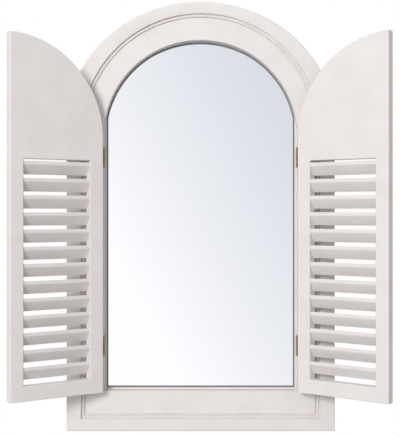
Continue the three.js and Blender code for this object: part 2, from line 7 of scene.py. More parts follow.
import bpy
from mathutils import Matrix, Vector


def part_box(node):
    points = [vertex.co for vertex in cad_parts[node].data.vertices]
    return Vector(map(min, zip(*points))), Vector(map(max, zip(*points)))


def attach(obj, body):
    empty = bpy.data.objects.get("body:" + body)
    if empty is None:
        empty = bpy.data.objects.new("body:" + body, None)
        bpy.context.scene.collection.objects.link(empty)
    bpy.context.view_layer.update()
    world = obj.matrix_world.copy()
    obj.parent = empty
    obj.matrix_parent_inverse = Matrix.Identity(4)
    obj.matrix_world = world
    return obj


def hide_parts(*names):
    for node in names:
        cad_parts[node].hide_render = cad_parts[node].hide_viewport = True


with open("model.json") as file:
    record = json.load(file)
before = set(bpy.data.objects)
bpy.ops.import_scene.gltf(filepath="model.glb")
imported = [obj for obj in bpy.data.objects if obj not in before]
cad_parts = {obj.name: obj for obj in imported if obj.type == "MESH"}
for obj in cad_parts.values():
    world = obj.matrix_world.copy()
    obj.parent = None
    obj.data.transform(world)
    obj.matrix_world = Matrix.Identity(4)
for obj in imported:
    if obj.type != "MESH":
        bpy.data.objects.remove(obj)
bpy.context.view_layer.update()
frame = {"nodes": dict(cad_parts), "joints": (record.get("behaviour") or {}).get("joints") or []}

MM = 0.001

# ---- sizes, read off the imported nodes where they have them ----

RAIL_LOW, RAIL_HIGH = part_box("bottom_rail")
ARCH_LOW, ARCH_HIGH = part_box("right_arch")
GLASS_LOW, GLASS_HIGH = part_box("mirror_glass")
STRIP_LOW, STRIP_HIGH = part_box("glazing_strip")
BOARD_LOW, BOARD_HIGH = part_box("backing_board")

FOOT = RAIL_LOW.z
TOP = ARCH_HIGH.z
SPRING = ARCH_LOW.z
HALF_WIDTH = RAIL_HIGH.x
BAND_Y = RAIL_LOW.y

OPENING_RADIUS = 181 * MM
SILL = FOOT + 75 * MM
OUTER_ARCH_LIFT = 21 * MM
BEAD_HALF_WIDTH = 218.7 * MM
BEAD_ARCH_LIFT = 7.5 * MM
BEAD_SILL = FOOT + 26.8 * MM

BAND_DEPTH = -BAND_Y
FLAT_DEPTH = 26 * MM
REBATE_DEPTH = 8 * MM
REBATE_STEP = 3 * MM
ARRIS = 2 * MM
RIM_ARRIS = 2.8 * MM
BEAD_RADIUS = 2.1 * MM
GROOVE_DEPTH = 24.6 * MM         # from the wall to the outer groove's floor
INNER_GROOVE_DEPTH = 22.7 * MM
INNER_GROOVE_WIDTH = 2.9 * MM
OUTER_GROOVE_WIDTH = 2.2 * MM
GROOVE_ARRIS = 0.5 * MM
ARRIS_MIDDLE = 0.3               # how far in its middle stands, as a share of it
ROUND_STEPS = 6
BEAD_STEPS = 12
ARCH_STEPS = 60                  # over a quarter turn

STOP_DEPTH = 10.8 * MM           # ledge between the glass and the closed shutters
STOP_HALF_WIDTH = 176.7 * MM
STOP_SILL = FOOT + 78.4 * MM
STOP_SETBACK = 0.3 * MM
STOP_RADIUS = 188.1 * MM
STOP_DROP = 8.55 * MM
STRIP_WIDTH = 2.4 * MM
STRIP_GAP = 0.3 * MM
STRIP_ARRIS = 0.4 * MM
GLASS_ARRIS = 0.5 * MM
PANE_SIDES = 256                 # of the disc that an arched head is cut from

SHUTTER_EDGE = 5.3 * MM          # hinge edge, from the pin
SHUTTER_WIDTH = 179.1 * MM
SHUTTER_FACE = -1.2 * MM         # outside face, as a depth from the pin
SHUTTER_THICKNESS = 18.2 * MM
SHUTTER_FOOT = FOOT + 76 * MM
SHUTTER_SPRING = FOOT + 544.3 * MM
SHUTTER_ARCH_RADIUS = 179.1 * MM
STILE_WIDTH = 25 * MM
LOUVRE_FOOT = FOOT + 102.7 * MM
LOUVRE_TOP = FOOT + 502.1 * MM
FIRST_SLAT = FOOT + 123.8 * MM
SLAT_PITCH = 30.25 * MM
SLAT_COUNT = 13
SLAT_DEPTH = 13.6 * MM
SLAT_HEIGHT = 25 * MM
SLAT_EDGE_HEIGHT = 7 * MM        # of its plumb long edges
SLAT_ARRIS = 1.2 * MM
SHUTTER_ARRIS = 1.8 * MM
SHUTTER_DISC_SIDES = 320

SIDES = {"left": -1, "right": 1}
PIN_X = 185.7 * MM
HINGE_HEIGHT = 38 * MM
LEAF_THICKNESS = 1.2 * MM
SEAT_WALL = 2.9 * MM             # wood between a shutter leaf's seat and the inside face
SEAT_FLOOR = 8.8 * MM            # from the pin to that seat's floor
KNUCKLE_RADIUS = 2.4 * MM
HINGE_CENTRES = {"lower": FOOT + 158.6 * MM, "upper": FOOT + 510.3 * MM}
SLACK = 0.3 * MM                 # round a fitting in its seat
CUT_OVER = 1 * MM                # how far a seat is cut past the face that it opens in

BUTTON_SEAT = 2.2 * MM           # depth
BUTTON_SEAT_REACH = 3 * MM       # past the button's outer end
BUTTON_SEAT_ROOM = 1.5 * MM      # above and below the button
POCKET_DEPTH = 9 * MM            # of the nail's pocket behind the keyhole plate
POCKET_HALF_WIDTH = 6 * MM
POCKET_HALF_HEIGHT = 13 * MM

FLAT_AREA = 150 * MM ** 2        # a face larger than this is shaded dead flat
SMOOTH_ANGLE = math.radians(35)
STRAIGHT = math.radians(0.1)     # edges that turn less than this are made one
NEAR = 0.01 * MM                 # places closer than this count as the same
WELD = 0.001 * MM                # vertices closer than this are merged
TINY = 1e-9                      # keeps a division away from zero


def joint_of(word):
    """The hinge joint of the left or the right shutter."""
    return next(j for j in frame["joints"] if j["child"] == f"{word}_shutter")


def pin_of(word):
    """Where a shutter's hinge pins stand."""
    place = joint_of(word)["pos_m"]
    return Vector((place[0], place[1], 0))


def rest_turn(word):
    """How far the shutter stands from closed, by the right-hand rule about +Z."""
    low, high = joint_of(word)["range_deg"]
    return math.radians(-high if word == "left" else -low)


# ---- small modelling helpers ----

def deselect():
    bpy.ops.object.select_all(action="DESELECT")


def start(name):
    """Names the primitive just added and opens it for editing."""
    piece = bpy.context.active_object
    piece.name = piece.data.name = name
    bpy.ops.object.mode_set(mode="EDIT")
    bpy.ops.mesh.select_all(action="DESELECT")
    return piece


def activate(piece):
    """Makes a piece the only one selected and the active one."""
    deselect()
    piece.select_set(True)
    bpy.context.view_layer.objects.active = piece


def edit(piece):
    """Opens a piece for editing with nothing selected."""
    activate(piece)
    bpy.ops.object.mode_set(mode="EDIT")
    bpy.ops.mesh.select_all(action="DESELECT")


def leave_edit():
    bpy.ops.object.mode_set(mode="OBJECT")


def choose(piece, kind, test):
    """Selects the vertices, edges or faces that pass a test, in edit mode."""
    bpy.ops.mesh.select_all(action="DESELECT")
    bpy.ops.mesh.select_mode(type={"vertices": "VERT", "edges": "EDGE", "polygons": "FACE"}[kind])
    bpy.ops.object.mode_set(mode="OBJECT")
    for item in getattr(piece.data, kind):
        item.select = bool(test(item))
    bpy.ops.object.mode_set(mode="EDIT")


def edge_ends(piece, edge):
    """The places of an edge's two ends."""
    return [piece.data.vertices[i].co for i in edge.vertices]


def apply_place(piece):
    """Takes an object's place, turn and scale into its mesh."""
    activate(piece)
    bpy.ops.object.transform_apply(location=True, rotation=True, scale=True)


def finish_shape(piece):
    """Closes the modelling of a piece: outward normals, its place in its mesh and soft shading."""
    edit(piece)
    bpy.ops.mesh.select_all(action="SELECT")
    bpy.ops.mesh.remove_doubles(threshold=WELD)
    bpy.ops.mesh.normals_make_consistent(inside=False)
    leave_edit()
    apply_place(piece)
    bpy.ops.object.shade_smooth_by_angle(angle=SMOOTH_ANGLE)
    straighten_flats(piece)
    return piece


def straighten_flats(piece):
    """Shades each large flat face dead flat, and lets the roundings beside it start from there."""
    mesh = piece.data
    flats = [face for face in mesh.polygons if face.area > FLAT_AREA]
    normals = [corner.vector.copy() for corner in mesh.corner_normals]
    at_vertex = {}
    for face in flats:
        for corner, vertex in zip(face.loop_indices, face.vertices):
            normals[corner] = face.normal.copy()
            at_vertex.setdefault(vertex, []).append(face.normal)
    flat_indices = {face.index for face in flats}
    for face in mesh.polygons:
        if face.index in flat_indices:
            continue
        for corner, vertex in zip(face.loop_indices, face.vertices):
            for normal in at_vertex.get(vertex, ()):
                if normal.angle(face.normal) < SMOOTH_ANGLE:
                    normals[corner] = normal.copy()
    mesh.normals_split_custom_set(normals)


def house(piece, *blocks):
    """Cuts square housings out of a piece, each given by two corners."""
    for low, high in blocks:
        cutter = add_block("cutter", low, high)
        leave_edit()
        activate(piece)
        cut_out = piece.modifiers.new("housing", "BOOLEAN")
        cut_out.operation = "DIFFERENCE"
        cut_out.solver = "EXACT"
        cut_out.object = cutter
        bpy.ops.object.modifier_apply(modifier=cut_out.name)
        bpy.data.objects.remove(cutter)


def twin(piece, name):
    """A copy with a mesh of its own."""
    copy = piece.copy()
    copy.data = piece.data.copy()
    copy.name = copy.data.name = name
    bpy.context.scene.collection.objects.link(copy)
    return copy


def add_block(name, low, high):
    """A block between two corners, left open for editing."""
    deselect()
    centre = (Vector(low) + Vector(high)) / 2
    bpy.ops.mesh.primitive_cube_add(size=1, location=centre)
    block = bpy.context.active_object
    block.scale = [abs(b - a) for a, b in zip(low, high)]
    apply_place(block)
    return start(name)


# ---- frame moulding ----

def moulding_section():
    """The moulding from the rebate out to the rim. Each point hangs on the stop, lip, bead or rim
    line, at a distance outwards from it and a depth from the wall."""
    points = [("lip", REBATE_STEP, 0), ("lip", REBATE_STEP, REBATE_DEPTH)]
    points += [("stop", 0, REBATE_DEPTH), ("stop", 0, STOP_DEPTH), ("lip", 0, STOP_DEPTH)]
    for i in range(ROUND_STEPS + 1):
        turn = math.pi / 2 * i / ROUND_STEPS
        points.append(("lip", ARRIS * (1 - math.cos(turn)), FLAT_DEPTH - ARRIS * (1 - math.sin(turn))))
    inner = -BEAD_RADIUS - INNER_GROOVE_WIDTH
    outer = BEAD_RADIUS + OUTER_GROOVE_WIDTH
    ease = GROOVE_ARRIS * ARRIS_MIDDLE
    points.append(("bead", inner - GROOVE_ARRIS, FLAT_DEPTH))
    points.append(("bead", inner - ease, FLAT_DEPTH - ease))
    points.append(("bead", inner, FLAT_DEPTH - GROOVE_ARRIS))
    points.append(("bead", inner, INNER_GROOVE_DEPTH))
    points.append(("bead", -BEAD_RADIUS, INNER_GROOVE_DEPTH))
    for i in range(BEAD_STEPS + 1):
        turn = math.pi * (1 - i / BEAD_STEPS)
        points.append(("bead", BEAD_RADIUS * math.cos(turn), GROOVE_DEPTH + BEAD_RADIUS * math.sin(turn)))
    points.append(("bead", outer, GROOVE_DEPTH))
    points.append(("bead", outer, BAND_DEPTH - GROOVE_ARRIS))
    points.append(("bead", outer + ease, BAND_DEPTH - ease))
    points.append(("bead", outer + GROOVE_ARRIS, BAND_DEPTH))
    for i in range(ROUND_STEPS + 1):
        turn = math.pi / 2 * i / ROUND_STEPS
        points.append((
            "rim", -RIM_ARRIS * (1 - math.sin(turn)), BAND_DEPTH - RIM_ARRIS * (1 - math.cos(turn)),
        ))
    points.append(("rim", 0, 0))
    return points


SECTION = moulding_section()
SIDE_LINES = {"stop": STOP_HALF_WIDTH, "lip": OPENING_RADIUS, "bead": BEAD_HALF_WIDTH, "rim": HALF_WIDTH}
FOOT_LINES = {"stop": STOP_SILL, "lip": SILL, "bead": BEAD_SILL, "rim": FOOT}


def reach_along_ray(angle, half_width, half_height, lift):
    """Distance from the spring centre to a line of the arch, along a ray above level."""
    level = half_width / max(math.cos(angle), TINY)
    if level * math.sin(angle) <= lift:
        return level
    a = (math.cos(angle) / half_width) ** 2 + (math.sin(angle) / half_height) ** 2
    b = -2 * lift * math.sin(angle) / half_height ** 2
    c = (lift / half_height) ** 2 - 1
    return (-b + math.sqrt(b * b - 4 * a * c)) / (2 * a)


def stop_reach(angle, inset=0):
    """Distance from the spring centre to the stop, or to a line that runs inside it all round."""
    return min(
        (STOP_HALF_WIDTH - inset) / max(abs(math.cos(angle)), TINY),
        OPENING_RADIUS - STOP_SETBACK - inset,
        STOP_RADIUS - STOP_DROP * math.sin(angle) - inset,
    )


def section_face(name):
    """A face with the section's outline, standing at the right-hand spring line."""
    deselect()
    bpy.ops.mesh.primitive_circle_add(vertices=len(SECTION), radius=1, fill_type="NGON")
    piece = start(name)
    leave_edit()
    for vertex, (line, offset, depth) in zip(piece.data.vertices, SECTION):
        vertex.co = (SIDE_LINES[line] + offset, -depth, SPRING)
    return piece


def draw_out(piece, end_points):
    """Extrudes the section face and sets each point of the new end where it meets its neighbour."""
    before = [v.co.copy() for v in piece.data.vertices]
    step = Vector((0, 0, -1))
    edit(piece)
    bpy.ops.mesh.select_all(action="SELECT")
    bpy.ops.mesh.extrude_region_move(TRANSFORM_OT_translate={"value": step})
    leave_edit()
    for vertex in piece.data.vertices:
        if vertex.select:
            nearest = min(range(len(before)), key=lambda i: (before[i] + step - vertex.co).length)
            vertex.co = end_points[nearest]


def corner_points(side):
    """Where the stile and the bottom rail meet, for each point of the section."""
    return [
        (side * (SIDE_LINES[line] + offset), -depth, FOOT_LINES[line] - offset)
        for line, offset, depth in SECTION
    ]


def moulded_stile(word):
    """A stile, mitred at its foot, with the seats of its hinges, turn buttons and keyhole plate."""
    side = SIDES[word]
    piece = section_face(f"{word}_stile_moulding")
    for vertex in piece.data.vertices:
        vertex.co.x *= side
    draw_out(piece, corner_points(side))
    house(piece, *leaf_housings(side), *back_housings(word))
    return finish_shape(piece)


def leaf_housings(side):
    """The shallow seats in which the frame leaves wrap the lip."""
    half = HINGE_HEIGHT / 2 + SLACK
    inner = OPENING_RADIUS - CUT_OVER
    wrap = PIN_X + KNUCKLE_RADIUS + SLACK
    floor = -(FLAT_DEPTH - LEAF_THICKNESS - SLACK)
    for centre in HINGE_CENTRES.values():
        yield (side * inner, floor, centre - half), (side * wrap, -FLAT_DEPTH - CUT_OVER, centre + half)


def back_housings(word):
    """The seats of the turn buttons and of the keyhole plate, with the nail's pocket under it."""
    side = SIDES[word]
    for place in ("lower", "upper"):
        low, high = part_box(f"{word}_{place}_turn_button")
        outer = max(abs(low.x), abs(high.x)) + BUTTON_SEAT_REACH
        middle = (low.z + high.z) / 2
        half = (high.z - low.z) / 2 + BUTTON_SEAT_ROOM
        yield (side * OPENING_RADIUS, CUT_OVER, middle - half), (side * outer, -BUTTON_SEAT, middle + half)
    low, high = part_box(f"{word}_hanger")
    yield low - Vector((SLACK, 0, SLACK)), high + Vector((SLACK, CUT_OVER, SLACK))
    middle = (low + high) / 2
    yield (
        (middle.x - POCKET_HALF_WIDTH, CUT_OVER, middle.z - POCKET_HALF_HEIGHT),
        (middle.x + POCKET_HALF_WIDTH, -POCKET_DEPTH, middle.z + POCKET_HALF_HEIGHT),
    )


def moulded_rail():
    """The bottom rail, mitred at both ends."""
    piece = section_face("bottom_rail_moulding")
    for vertex, point in zip(piece.data.vertices, corner_points(1)):
        vertex.co = point
    draw_out(piece, corner_points(-1))
    return finish_shape(piece)


def moulded_arch(word):
    """Half the arch: the section spun a quarter turn, then drawn to the curve of each of its lines."""
    side = SIDES[word]
    piece = section_face(f"{word}_arch_moulding")
    edit(piece)
    bpy.ops.mesh.select_all(action="SELECT")
    bpy.ops.mesh.spin(
        steps=ARCH_STEPS, angle=math.pi / 2, center=(0, 0, SPRING), axis=(0, 1, 0), use_auto_merge=False,
    )
    leave_edit()
    rim_height = TOP - SPRING - OUTER_ARCH_LIFT
    curves = {
        "lip": (OPENING_RADIUS, OPENING_RADIUS, 0),
        "bead": (BEAD_HALF_WIDTH, BEAD_HALF_WIDTH, BEAD_ARCH_LIFT),
        "rim": (HALF_WIDTH, rim_height, OUTER_ARCH_LIFT),
    }
    for vertex in piece.data.vertices:
        x, y, z = vertex.co
        reach = math.hypot(x, z - SPRING)
        angle = math.atan2(z - SPRING, abs(x))
        line, offset, depth = min(
            SECTION, key=lambda point: abs(SIDE_LINES[point[0]] + point[1] - reach) + abs(point[2] + y),
        )
        drawn = (stop_reach(angle) if line == "stop" else reach_along_ray(angle, *curves[line])) + offset
        vertex.co = (side * drawn * math.cos(angle), -depth, SPRING + drawn * math.sin(angle))
    return finish_shape(piece)


# ---- mirror pack ----

def arched_pane(name, half_width, foot, back, front, arris=0, reach=None):
    """A flat pane with an arched head: a disc cut at the spring line, drawn down and thickened. The
    head is half round, or as far from the spring centre as reach says for each angle."""
    deselect()
    bpy.ops.mesh.primitive_circle_add(
        vertices=PANE_SIDES, radius=half_width, fill_type="NGON",
        location=(0, front, SPRING), rotation=(math.pi / 2, 0, 0),
    )
    apply_place(bpy.context.active_object)
    piece = start(name)
    bpy.ops.mesh.select_all(action="SELECT")
    bpy.ops.mesh.bisect(plane_co=(0, 0, SPRING), plane_no=(0, 0, 1), clear_inner=True)
    leave_edit()
    for vertex in piece.data.vertices if reach else ():
        angle = math.atan2(vertex.co.z - SPRING, vertex.co.x)
        vertex.co = (reach(angle) * math.cos(angle), front, SPRING + reach(angle) * math.sin(angle))
    edit(piece)
    choose(piece, "edges", lambda e: all(abs(p.z - SPRING) < NEAR for p in edge_ends(piece, e)))
    bpy.ops.mesh.extrude_region_move(TRANSFORM_OT_translate={"value": (0, 0, foot - SPRING)})
    bpy.ops.mesh.select_all(action="SELECT")
    bpy.ops.mesh.dissolve_limited(angle_limit=STRAIGHT)
    bpy.ops.mesh.select_all(action="SELECT")
    bpy.ops.mesh.extrude_region_move(TRANSFORM_OT_translate={"value": (0, back - front, 0)})
    if arris:
        choose(piece, "edges", lambda e: all(abs(p.y - front) < NEAR for p in edge_ends(piece, e)))
        bpy.ops.mesh.bevel(offset=arris, segments=3, affect="EDGES")
    leave_edit()
    return finish_shape(piece)


def glazing_strip():
    """The grey tape round the glass: an arched plate with its middle cut out by an inset."""
    piece = arched_pane(
        "grey_glazing_strip", STRIP_HIGH.x, STRIP_LOW.z, STRIP_HIGH.y, STRIP_LOW.y,
        reach=lambda angle: stop_reach(angle, STRIP_GAP),
    )
    edit(piece)
    choose(piece, "polygons", lambda f: abs(f.normal.y) > 0.9)
    bpy.ops.mesh.inset(thickness=STRIP_WIDTH, use_even_offset=True)
    bpy.ops.mesh.bridge_edge_loops()
    choose(piece, "edges", lambda e: is_sharp_front(piece, e, STRIP_LOW.y))
    bpy.ops.mesh.bevel(offset=STRIP_ARRIS, segments=2, affect="EDGES")
    leave_edit()
    return finish_shape(piece)


def is_sharp_front(piece, edge, front):
    """An edge in the front plane that isn't one of the spokes between the two outlines. A spoke is
    as long as the strip is wide, or longer, and it is neither plumb nor level."""
    a, b = edge_ends(piece, edge)
    if abs(a.y - front) > NEAR or abs(b.y - front) > NEAR:
        return False
    return (a - b).length < STRIP_WIDTH * 0.98 or abs(a.x - b.x) < NEAR or abs(a.z - b.z) < NEAR


# ---- shutters, modelled closed with the pin at the origin of x and y ----

def shutter_blank(name):
    """The right-hand shutter's whole outline: a quarter disc drawn down to the foot and thickened."""
    near = -SHUTTER_EDGE
    far = near - SHUTTER_WIDTH
    outside = -SHUTTER_FACE
    deselect()
    bpy.ops.mesh.primitive_circle_add(
        vertices=SHUTTER_DISC_SIDES, radius=SHUTTER_ARCH_RADIUS, fill_type="NGON",
        location=(far, outside, SHUTTER_SPRING), rotation=(math.pi / 2, 0, 0),
    )
    apply_place(bpy.context.active_object)
    piece = start(name)
    for point, normal in (((far, 0, 0), (1, 0, 0)), ((0, 0, SHUTTER_SPRING), (0, 0, 1))):
        bpy.ops.mesh.select_all(action="SELECT")
        bpy.ops.mesh.bisect(plane_co=point, plane_no=normal, clear_inner=True)
    choose(piece, "edges", lambda e: all(abs(p.z - SHUTTER_SPRING) < NEAR for p in edge_ends(piece, e)))
    bpy.ops.mesh.extrude_region_move(
        TRANSFORM_OT_translate={"value": (0, 0, SHUTTER_FOOT - SHUTTER_SPRING)},
    )
    bpy.ops.mesh.select_all(action="SELECT")
    bpy.ops.mesh.dissolve_limited(angle_limit=STRAIGHT)
    bpy.ops.mesh.select_all(action="SELECT")
    bpy.ops.mesh.extrude_region_move(TRANSFORM_OT_translate={"value": (0, SHUTTER_THICKNESS, 0)})
    leave_edit()
    return piece


def cut(piece, x_from=None, x_to=None, z_from=None, z_to=None):
    """Saws a board out of the blank and fills the sawn faces."""
    edit(piece)
    planes = ((x_from, (1, 0, 0)), (x_to, (-1, 0, 0)), (z_from, (0, 0, 1)), (z_to, (0, 0, -1)))
    for place, normal in planes:
        if place is not None:
            bpy.ops.mesh.select_all(action="SELECT")
            point = Vector(normal) * (place if sum(normal) > 0 else -place)
            bpy.ops.mesh.bisect(plane_co=point, plane_no=normal, clear_inner=True, use_fill=True)
    leave_edit()


def score(piece, heights):
    """Marks a board across at some heights, so that its edges can be rounded between them."""
    edit(piece)
    for height in heights:
        bpy.ops.mesh.select_all(action="SELECT")
        bpy.ops.mesh.bisect(plane_co=(0, 0, height), plane_no=(0, 0, 1))
    leave_edit()


def round_arrises(piece, is_free):
    """Rounds the long edges of a board on both faces, wherever nothing is joined to it."""
    outside = -SHUTTER_FACE
    inside = outside + SHUTTER_THICKNESS
    edit(piece)

    def wanted(edge):
        a, b = edge_ends(piece, edge)
        on_face = any(abs(a.y - y) < NEAR and abs(b.y - y) < NEAR for y in (outside, inside))
        return on_face and is_free((a + b) / 2, a, b)

    choose(piece, "edges", wanted)
    bpy.ops.mesh.bevel(offset=SHUTTER_ARRIS, segments=5, affect="EDGES", clamp_overlap=True)
    leave_edit()


def shutter_boards(word):
    """The stiles, top panel and bottom rail of a shutter, sawn out of one blank."""
    near = -SHUTTER_EDGE
    far = near - SHUTTER_WIDTH
    hinge_inside = near - STILE_WIDTH
    meeting_inside = far + STILE_WIDTH
    blank = shutter_blank("shutter_blank")
    boards = {
        "hinge_stile": dict(x_from=hinge_inside),
        "meeting_stile": dict(x_to=meeting_inside),
        "top_panel": dict(x_from=meeting_inside, x_to=hinge_inside, z_from=LOUVRE_TOP),
        "shutter_rail": dict(x_from=meeting_inside, x_to=hinge_inside, z_to=LOUVRE_FOOT),
    }
    made = []
    for board, bounds in boards.items():
        piece = twin(blank, f"painted_{word}_{board}")
        cut(piece, **bounds)
        if "stile" in board:
            score(piece, (LOUVRE_FOOT, LOUVRE_TOP))

        def free(middle, a, b):
            joint = min(abs(middle.x - hinge_inside), abs(middle.x - meeting_inside)) < NEAR
            if joint:
                return LOUVRE_FOOT < middle.z < LOUVRE_TOP
            at_score = min(abs(middle.z - LOUVRE_FOOT), abs(middle.z - LOUVRE_TOP)) < NEAR
            return not (at_score and abs(a.z - b.z) < NEAR and "stile" in board)

        round_arrises(piece, free)
        if board == "hinge_stile":
            house(piece, *edge_housings())
        place_on_shutter(piece, word)
        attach(piece, f"{word}_shutter")
        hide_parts(f"{word}_{board}")
        made.append(piece)
    bpy.data.objects.remove(blank)
    return made


def edge_housings():
    """The seats in the hinge edge, deep enough for both leaves of the closed hinge."""
    half = HINGE_HEIGHT / 2 + SLACK
    edge = -SHUTTER_EDGE
    for centre in HINGE_CENTRES.values():
        yield (
            (edge + CUT_OVER, -SHUTTER_FACE + SHUTTER_THICKNESS - SEAT_WALL, centre - half),
            (-SEAT_FLOOR, -SHUTTER_FACE - CUT_OVER, centre + half),
        )


def place_on_shutter(piece, word):
    """Mirrors a right-hand piece for the left, and turns it about its pin to where it stands."""
    piece.scale = (SIDES[word], 1, 1)
    apply_place(piece)
    piece.rotation_euler.z = rest_turn(word)
    piece.location = pin_of(word)
    finish_shape(piece)


def slat(name):
    """One slat: a thin board that falls towards the outside, its long edges cut plumb and its
    arrises eased, drawn out across the louvre in the lowest place."""
    half_length = SHUTTER_WIDTH / 2 - STILE_WIDTH
    deep, high = SLAT_DEPTH / 2, SLAT_HEIGHT / 2
    middle = Vector((
        -(SHUTTER_EDGE + SHUTTER_WIDTH / 2), -SHUTTER_FACE + SHUTTER_THICKNESS / 2, FIRST_SLAT,
    ))
    deselect()
    bpy.ops.mesh.primitive_circle_add(vertices=4, radius=1, fill_type="NGON")
    piece = start(name)
    leave_edit()
    low_arris = high - SLAT_EDGE_HEIGHT
    corners = ((deep, high), (-deep, -low_arris), (-deep, -high), (deep, low_arris))
    for vertex, (y, z) in zip(piece.data.vertices, corners):
        vertex.co = middle + Vector((-half_length, y, z))
    edit(piece)
    bpy.ops.mesh.select_all(action="SELECT")
    bpy.ops.mesh.extrude_region_move(TRANSFORM_OT_translate={"value": (2 * half_length, 0, 0)})
    choose(piece, "edges", lambda e: e.vertices[0] // 4 != e.vertices[1] // 4)
    bpy.ops.mesh.bevel(offset=SLAT_ARRIS, segments=6, affect="EDGES")
    leave_edit()
    return piece


def shutter_slats(word):
    """The slats of a shutter, each a copy of the lowest."""
    first = slat("first_slat")
    made = []
    for number in range(1, SLAT_COUNT + 1):
        piece = twin(first, f"painted_{word}_slat_{number:02d}")
        piece.location.z = (number - 1) * SLAT_PITCH
        apply_place(piece)
        place_on_shutter(piece, word)
        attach(piece, f"{word}_shutter")
        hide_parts(f"{word}_slat_{number:02d}")
        made.append(piece)
    bpy.data.objects.remove(first)
    return made


# ---- materials ----

def linear(hex_colour):
    """An sRGB hex colour as linear RGBA."""
    channels = [int(hex_colour[i:i + 2], 16) / 255 for i in (1, 3, 5)]
    curve = [c / 12.92 if c <= 0.04045 else ((c + 0.055) / 1.055) ** 2.4 for c in channels]
    return (*curve, 1)


def node(tree, kind, settings=None, **links):
    """Adds a node, sets its properties or input values, and links its inputs."""
    made = tree.nodes.new(kind)
    for key, value in (settings or {}).items():
        if isinstance(key, int) or key in made.inputs:
            made.inputs[key].default_value = value
        else:
            setattr(made, key, value)
    for key, source in links.items():
        tree.links.new(source, made.inputs[key.replace("_", " ")])
    return made


def new_material(name):
    """A node material, its tree and its surface shader."""
    material = bpy.data.materials.new(name)
    material.use_nodes = True
    tree = material.node_tree
    return material, tree, tree.nodes["Principled BSDF"]


def per_metre(millimetres):
    """A texture scale whose features are about this big."""
    return 1000 / millimetres


def eggshell_paint(name, stretch):
    """Eggshell paint brushed on primed wood: warm off-white, low sheen, faint brush marks and a
    hardly visible unevenness of tone."""
    material, tree, shader = new_material(name)
    place = node(tree, "ShaderNodeTexCoord").outputs["Object"]
    along = node(tree, "ShaderNodeMapping", {"Scale": stretch}, Vector=place).outputs["Vector"]
    brush = node(tree, "ShaderNodeTexNoise", {"Scale": per_metre(2.2), "Detail": 3}, Vector=along)
    peel = node(tree, "ShaderNodeTexNoise", {"Scale": per_metre(1.4), "Detail": 2}, Vector=place)
    cloud = node(tree, "ShaderNodeTexNoise", {"Scale": per_metre(45), "Detail": 3}, Vector=place)
    tone = node(tree, "ShaderNodeValToRGB", Fac=cloud.outputs["Fac"])
    tone.color_ramp.elements[0].position = 0.35
    tone.color_ramp.elements[1].position = 0.65
    tone.color_ramp.elements[0].color = linear("#e6e0dd")
    tone.color_ramp.elements[1].color = linear("#eae5e2")
    tree.links.new(tone.outputs["Color"], shader.inputs["Base Color"])
    rough = node(tree, "ShaderNodeMapRange", {"To Min": 0.42, "To Max": 0.54}, Value=peel.outputs["Fac"])
    tree.links.new(rough.outputs["Result"], shader.inputs["Roughness"])
    first = node(
        tree, "ShaderNodeBump", {"Strength": 0.25, "Distance": 0.12 * MM}, Height=brush.outputs["Fac"],
    )
    second = node(
        tree, "ShaderNodeBump", {"Strength": 0.2, "Distance": 0.1 * MM},
        Height=peel.outputs["Fac"], Normal=first.outputs["Normal"],
    )
    tree.links.new(second.outputs["Normal"], shader.inputs["Normal"])
    shader.inputs["IOR"].default_value = 1.5
    return material


def silvered_glass():
    """Float glass silvered on its back: a clear mirror with a very slight cool cast."""
    material, tree, shader = new_material("silvered_float_glass")
    place = node(tree, "ShaderNodeTexCoord").outputs["Object"]
    haze = node(tree, "ShaderNodeTexNoise", {"Scale": per_metre(90), "Detail": 2}, Vector=place)
    rough = node(tree, "ShaderNodeMapRange", {"To Min": 0.004, "To Max": 0.02}, Value=haze.outputs["Fac"])
    tree.links.new(rough.outputs["Result"], shader.inputs["Roughness"])
    shader.inputs["Base Color"].default_value = linear("#f7f8f9")
    shader.inputs["Metallic"].default_value = 1
    return material


def grey_tape():
    """Closed-cell glazing tape: matt mid grey with a fine open grain."""
    material, tree, shader = new_material("grey_glazing_tape")
    place = node(tree, "ShaderNodeTexCoord").outputs["Object"]
    cells = node(tree, "ShaderNodeTexVoronoi", {"Scale": per_metre(0.7)}, Vector=place)
    tone = node(tree, "ShaderNodeValToRGB", Fac=cells.outputs["Distance"])
    tone.color_ramp.elements[0].color = linear("#7c7d80")
    tone.color_ramp.elements[1].color = linear("#8f9093")
    tree.links.new(tone.outputs["Color"], shader.inputs["Base Color"])
    bump = node(
        tree, "ShaderNodeBump", {"Strength": 0.3, "Distance": 0.1 * MM}, Height=cells.outputs["Distance"],
    )
    tree.links.new(bump.outputs["Normal"], shader.inputs["Normal"])
    shader.inputs["Roughness"].default_value = 0.75
    return material


